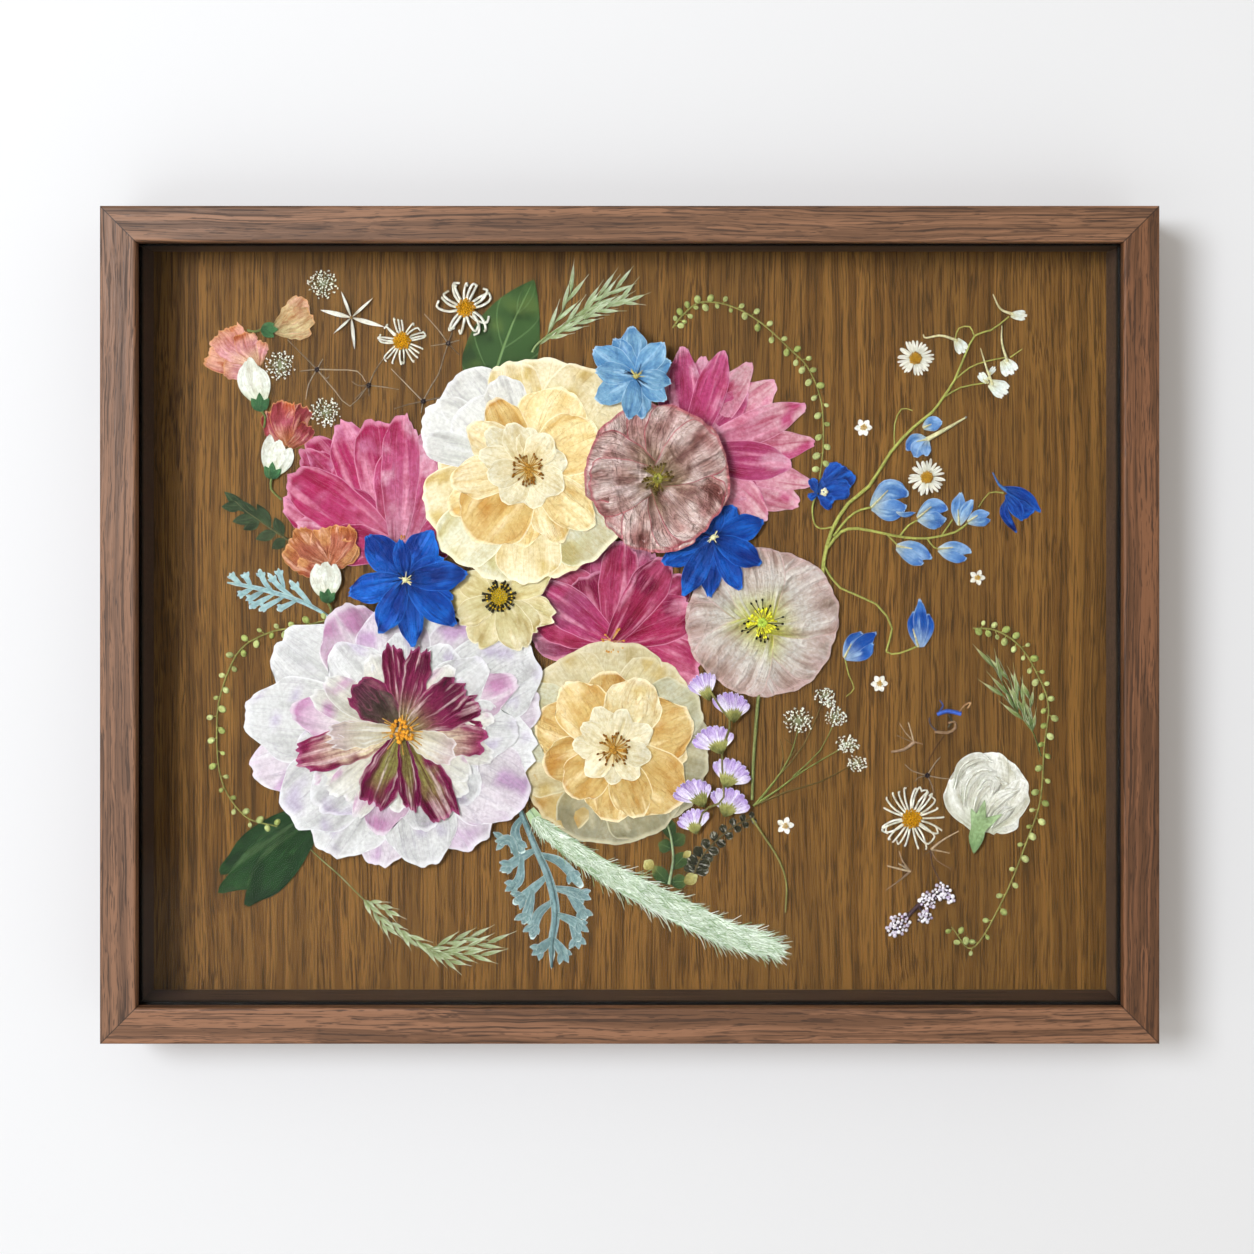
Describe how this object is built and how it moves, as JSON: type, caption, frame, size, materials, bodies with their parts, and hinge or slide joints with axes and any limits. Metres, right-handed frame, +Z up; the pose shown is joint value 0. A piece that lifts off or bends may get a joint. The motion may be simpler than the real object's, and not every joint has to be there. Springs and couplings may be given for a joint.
{
  "type": "pressed flower frame",
  "caption": "Walnut shadow-box picture frame that hangs on a wall and holds an arrangement of pressed flowers, leaves and grasses on an oak board behind glass.",
  "frame": {"origin": "centre of the bounding box of the whole frame, hanger and bumpers included", "axes": "+X to the right as seen from the front, +Y towards the wall behind, +Z up; the glass looks towards -Y"},
  "size_m": [0.378, 0.0368, 0.299],
  "materials": {
    "walnut": "oiled, fine open grain",
    "picture_glass": "clear float glass, polished",
    "oak": "satin, vertical grain",
    "stained_spacer": "dark stain, matt",
    "zinc_steel": "zinc plated, stamped",
    "rubber": "moulded, matt",
    "white_petal": "dried petal, thin and papery",
    "cream_petal": "dried petal, thin and papery",
    "pink_petal": "dried petal with fine veins",
    "mauve_petal": "dried petal, crumpled, satin",
    "blue_petal": "dried petal with dark veins",
    "pale_blue_petal": "dried petal, thin and papery",
    "lilac_petal": "dried petal, pleated",
    "orange_petal": "dried petal, ruffled",
    "leaf_green": "pressed leaf, satin, with veins",
    "silver_green": "pressed leaf, felted",
    "stem_green": "dried stem, matt",
    "grass_green": "dried grass, matt",
    "dry_brown": "dried fern, matt"
  },
  "bodies": {
    "root": {"rail_top": "walnut", "rail_right": "walnut", "rail_bottom": "walnut", "rail_left": "walnut", "glass": "picture_glass", "oak_board": "oak", "spacer_top": "stained_spacer", "spacer_bottom": "stained_spacer", "spacer_left": "stained_spacer", "spacer_right": "stained_spacer", "sawtooth_hanger": "zinc_steel", "bumper_left": "rubber", "bumper_right": "rubber", "babys_breath": "grass_green", "blossom_cluster_1": "white_petal", "blossom_cluster_2": "white_petal", "blossom_cluster_3": "white_petal", "chamomile_1": "white_petal", "chamomile_2": "white_petal", "chamomile_3": "white_petal", "cosmos": "cream_petal", "dahlia": "pink_petal", "daisy_1": "white_petal", "daisy_2": "white_petal", "delphinium_bud": "blue_petal", "delphinium_left": "blue_petal", "delphinium_middle": "blue_petal", "fern": "dry_brown", "foliage_dark": "leaf_green", "foxtail": "grass_green", "grass_ear_lower": "grass_green", "grass_ear_right": "grass_green", "grass_ear_top": "grass_green", "larkspur_floret": "blue_petal", "larkspur_pale": "pale_blue_petal", "larkspur_spray": "pale_blue_petal", "lavender": "lilac_petal", "leaf_pointed": "leaf_green", "leaf_three_lobed": "leaf_green", "leafy_sprig": "leaf_green", "magnolia": "pink_petal", "peony": "white_petal", "pink_peony": "pink_petal", "poppy_mauve": "mauve_petal", "poppy_white": "white_petal", "rose_lower": "cream_petal", "rose_upper": "cream_petal", "rosebud_1": "orange_petal", "rosebud_2": "orange_petal", "rosebud_3": "orange_petal", "rosebud_4": "orange_petal", "rosebud_white": "white_petal", "silver_leaf_left": "silver_green", "silver_leaf_lower": "silver_green", "star_flower": "white_petal", "statice": "lilac_petal", "vine_left": "stem_green", "vine_right": "stem_green", "vine_top": "stem_green"}
  },
  "joints": []
}
